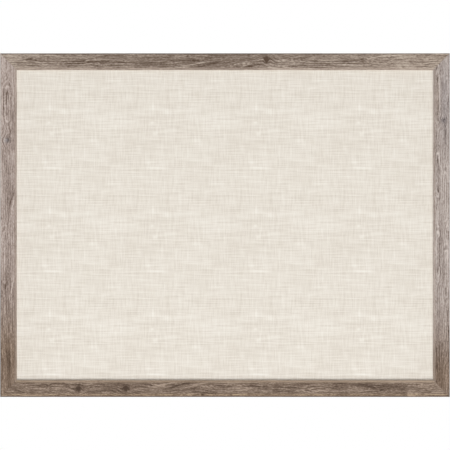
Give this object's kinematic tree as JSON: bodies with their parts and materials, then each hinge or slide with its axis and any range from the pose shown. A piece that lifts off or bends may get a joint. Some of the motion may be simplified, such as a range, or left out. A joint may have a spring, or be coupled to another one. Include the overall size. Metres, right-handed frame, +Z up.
{
  "type": "bulletin board",
  "caption": "Wall-hung pin board: a linen-covered cork panel in a flat mitred wood-look moulding, with folded-strap D-ring hangers and wall bumpers behind.",
  "frame": {"origin": "midway between the two wall hooks, at the height where they bear in the D-rings, on the wall plane", "axes": "+X to the viewer's right along the board, +Y into the wall, +Z up; the linen faces -Y"},
  "size_m": [0.6462, 0.0231, 0.4938],
  "materials": {
    "rail_wood": "matt weathered grey-brown wood-grain facing, with a raw fibreboard back",
    "stile_wood": "matt weathered paler grey wood-grain facing, with a raw fibreboard back",
    "linen": "plain-woven slubbed natural linen, stretched flat",
    "cork": "fine-grained natural cork",
    "softboard": "raw fibre softboard",
    "hardboard": "brown tempered hardboard, smooth side out",
    "zinc_steel": "bright zinc-plated pressed steel",
    "zinc_wire": "bright zinc-plated drawn steel wire",
    "bumper": "translucent soft bumper"
  },
  "bodies": {
    "board": {"top_rail": "rail_wood", "bottom_rail": "rail_wood", "left_stile": "stile_wood", "right_stile": "stile_wood", "linen_cover": "linen", "cork_sheet": "cork", "softboard_core": "softboard", "hardboard_back": "hardboard", "v_nail_top_left_1": "zinc_steel", "v_nail_top_left_2": "zinc_steel", "v_nail_top_right_1": "zinc_steel", "v_nail_top_right_2": "zinc_steel", "v_nail_bottom_right_1": "zinc_steel", "v_nail_bottom_right_2": "zinc_steel", "v_nail_bottom_left_1": "zinc_steel", "v_nail_bottom_left_2": "zinc_steel", "point_top_1": "zinc_steel", "point_top_2": "zinc_steel", "point_top_3": "zinc_steel", "point_top_4": "zinc_steel", "point_right_1": "zinc_steel", "point_right_2": "zinc_steel", "point_right_3": "zinc_steel", "point_bottom_1": "zinc_steel", "point_bottom_2": "zinc_steel", "point_bottom_3": "zinc_steel", "point_bottom_4": "zinc_steel", "point_left_1": "zinc_steel", "point_left_2": "zinc_steel", "point_left_3": "zinc_steel", "left_hanger_strap": "zinc_steel", "left_hanger_screw_1": "zinc_steel", "left_hanger_screw_2": "zinc_steel", "left_wall_bumper": "bumper", "right_hanger_strap": "zinc_steel", "right_hanger_screw_1": "zinc_steel", "right_hanger_screw_2": "zinc_steel", "right_wall_bumper": "bumper"},
    "left_ring": {"left_d_ring": "zinc_wire"},
    "right_ring": {"right_d_ring": "zinc_wire"}
  },
  "joints": [
    {"name": "left_ring_swing", "type": "hinge", "parent": "board", "child": "left_ring", "pos_m": [-0.31435, -0.002, -0.01052], "axis": [-1, 0, 0], "range_deg": [0, 168]},
    {"name": "right_ring_swing", "type": "hinge", "parent": "board", "child": "right_ring", "pos_m": [0.31435, -0.002, -0.01052], "axis": [-1, 0, 0], "range_deg": [0, 168]}
  ]
}
